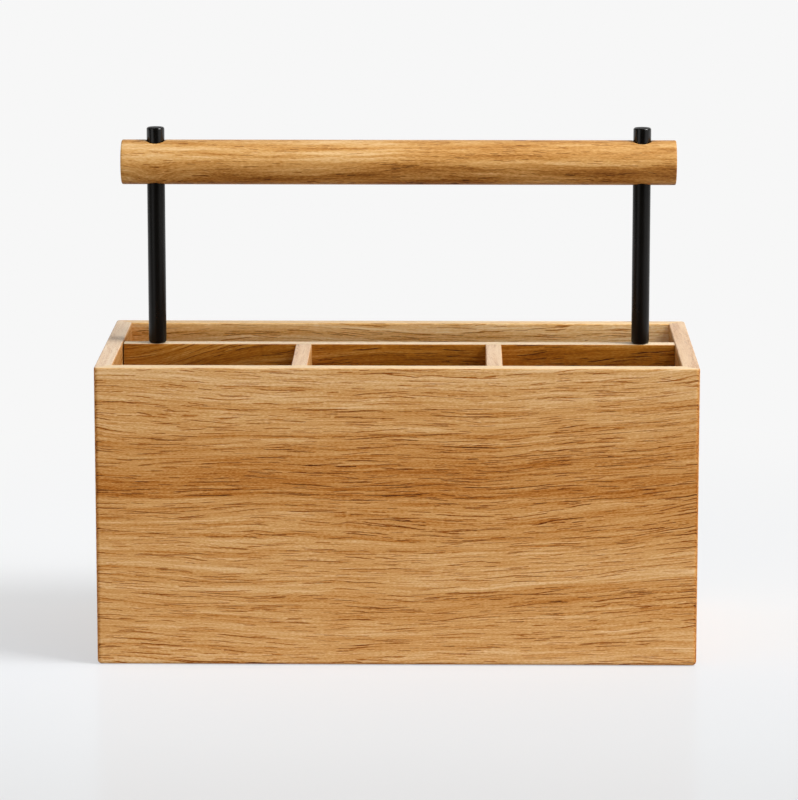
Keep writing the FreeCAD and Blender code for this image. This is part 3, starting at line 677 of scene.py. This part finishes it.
# %% One drilled hole
# On the skin, PATCH is half the side of the square round a hole, and STEPS counts the faces along a side.
# The seat inside the hole runs in over two rings to the stud's hole.
PATCH, STEPS, SEAT_RINGS = 9.0, 24, (4.0, 2.6)


def skin(x, w, r):
    """The bar's skin: a point x along it and w round it, measured from the top, both in mm of length. It
    lies at the angle w / R round a circle of radius r."""
    return np.stack([x, bar_y + r * np.sin(w / bar_r), bar_z + r * np.cos(w / bar_r)], -1)


def drilled(x0, up, bore, ease, floor_at):
    """The patch round one hole, from a square of the skin to the mouth, over the eased edge, down the wall
    and in to the stud's hole. At angle a the mouth is (x0 + r cos a, r sin a), and its height is that of
    the skin, sqrt(R^2 - (r sin a)^2), less the drop of the easing."""
    s = np.linspace(-1, 1, STEPS + 1)[:-1]
    one = np.ones(STEPS)
    square = PATCH * np.vstack([np.stack([s, -one], -1), np.stack([one, s], -1),
                                np.stack([-s, one], -1), np.stack([-one, -s], -1)])
    a = np.arctan2(square[:, 1], square[:, 0])
    rim = bore + ease
    mouth = np.stack([rim * np.cos(a), bar_r * np.arcsin(rim * np.sin(a) / bar_r)], -1)
    rows = []
    for t in np.linspace(0, 1, 8) ** 0.8:
        x, w = ((1 - t) * square + t * mouth).T
        rows.append(skin(x0 + x, w, bar_r) - [0, bar_y, bar_z])
    for q in np.linspace(0, np.pi / 2, 7)[1:]:
        r = bore + ease * (1 - np.sin(q))
        z = np.sqrt(bar_r ** 2 - (r * np.sin(a)) ** 2) - ease * (1 - np.cos(q))
        rows.append(np.stack([x0 + r * np.cos(a), r * np.sin(a), z], -1))
    wall = rows[-1][:, 2]
    for t in (0.5, 1.0):
        rows.append(np.stack([x0 + bore * np.cos(a), bore * np.sin(a), (1 - t) * wall + t * floor_at], -1))
    for r in SEAT_RINGS:
        rows.append(np.stack([x0 + r * np.cos(a), r * np.sin(a), np.full(len(a), floor_at)], -1))
    return np.array(rows) * [1, up, up] + [0, bar_y, bar_z]


print("points round one mouth:", 4 * STEPS)

# %% The bar's skin
# The grid is finer round the holes. The squares over the holes are left out for the patches.
end_round = 0.9
between = np.linspace(-rod_x + PATCH, rod_x - PATCH, 25)
beyond = np.linspace(rod_x + PATCH, bar_end - end_round, 4)
by_hole = np.linspace(-PATCH, PATCH, STEPS + 1)
flank = np.linspace(PATCH, np.pi * bar_r - PATCH, 28)
x_lines = np.concatenate([-beyond[::-1], by_hole[1:-1] - rod_x, between, by_hole[1:-1] + rod_x, beyond])
w_lines = np.concatenate([by_hole[:-1], flank[:-1], by_hole[:-1] + np.pi * bar_r,
                          flank[:-1] + np.pi * bar_r])
x_grid, w_grid = np.meshgrid(x_lines, w_lines, indexing="ij")
points, faces, count = [skin(x_grid, w_grid, bar_r).reshape(-1, 3)], [], x_grid.size
shell = grid_faces(len(x_lines), len(w_lines))
centre = points[0][shell].mean(1)
holed = ((np.abs(np.abs(centre[:, 0]) - rod_x) < PATCH)
         & (np.abs(centre[:, 1] - bar_y) < bar_r * np.sin(PATCH / bar_r)))
faces.append(shell[~holed])
print("faces of the skin:", len(faces[0]), "and left out for the holes:", int(holed.sum()))

# %% The holes
# Each mouth has its way up, the bore's radius, its easing, and the height of the seat inside. The stud's
# hole joins the two seats.
MOUTHS = ((1, 5.5, 0.8, seat_high), (-1, 5.15, 0.5, -seat_low))
for x0 in (-rod_x, rod_x):
    joined = []
    for up, bore, ease, floor_at in MOUTHS:
        patch = drilled(x0, up, bore, ease, floor_at)
        points.append(patch.reshape(-1, 3))
        faces.append(grid_faces(len(patch), patch.shape[1], count))
        count += patch.shape[0] * patch.shape[1]
        ring = patch[-1]
        joined.append(ring[np.argsort(np.arctan2(ring[:, 1] - bar_y, ring[:, 0] - x0))])
    points.append(np.vstack(joined))
    faces.append(grid_faces(2, len(joined[0]), count))
    count += 2 * len(joined[0])
print("points after the holes:", count)

# %% The bar's ends
end_rings = (7.0, 2.0)
easing = bend((bar_r - end_round, bar_end - end_round), end_round, 0, 90, 6)
profile = np.vstack([easing, [[r, bar_end] for r in end_rings]])
for end in (-1, 1):
    ring = np.array([skin(np.full(w_lines.size, end * h), w_lines, r) for r, h in profile])
    points.append(np.vstack([ring.reshape(-1, 3), [[end * bar_end, bar_y, bar_z]]]))
    faces.append(grid_faces(len(ring), w_lines.size, count))
    faces.append(cap_faces(w_lines.size, count + (len(ring) - 1) * w_lines.size, count + ring.size // 3))
    count += ring.size // 3 + 1
print("points of the bar:", count)

# %% The bar's oak
# The bar is turned from a younger piece: its bands are narrower and its pores shorter, and a small knot
# by the left rod dips the grain of the lower half. Its stripes also paint shade: the tone is lower along
# its underside and higher along its top. It gets no painted top sheen and no painted corner shade.
# stripes with painted shade: darker along the underside, lighter along the top
BAR_BANDS_AND_SHADE = [(0.0, 0.49), (0.18, 0.42), (0.30, 0.51), (0.42, 0.63), (0.61, 0.68), (0.80, 0.70),
             (1.0, 0.62)]
BAR_RAMP = [(0.0, "#3A1C02"), (0.15, "#653406"), (0.30, "#88501A"), (0.45, "#A86D2C"),
            (0.60, "#C28945"), (0.78, "#D6A361"), (1.0, "#E9C28C")]
BAR_FIGURE = ((75, 9, 4.2), (55, 4, 2.0), (24, 1.5, 0.62), (2.2, 0.7, 0.45))
BAR_PORES = (((15.0, 2.2, 2.0), 5.5, 0.22, 1.05), ((8.0, 1.6, 1.3), 3.0, 0.20, 0.95))
bar_knot = (-rod_x, 12.0, 4.2, 4.0, 19.0)
bar_oak = oak("turned_oak_bar", shift=(4400, -bar_y, bar_r - bar_z), bands=BAR_BANDS_AND_SHADE, span=2 * bar_r,
              lean=0.3, wander=2.0, knot=bar_knot, figure=BAR_FIGURE, grain=(0.85, 0.42, 0.42, 0.52),
              dashes=BAR_PORES, pores=0.36, fewer=0.10, drift=-0.06, corner_shade=0.0, ramp=BAR_RAMP, rim=0.0)
make_piece("turned_bar", np.vstack(points), faces, bar_oak, "handle_bar", "oak_bar")

# %% Finish
bpy.context.view_layer.update()
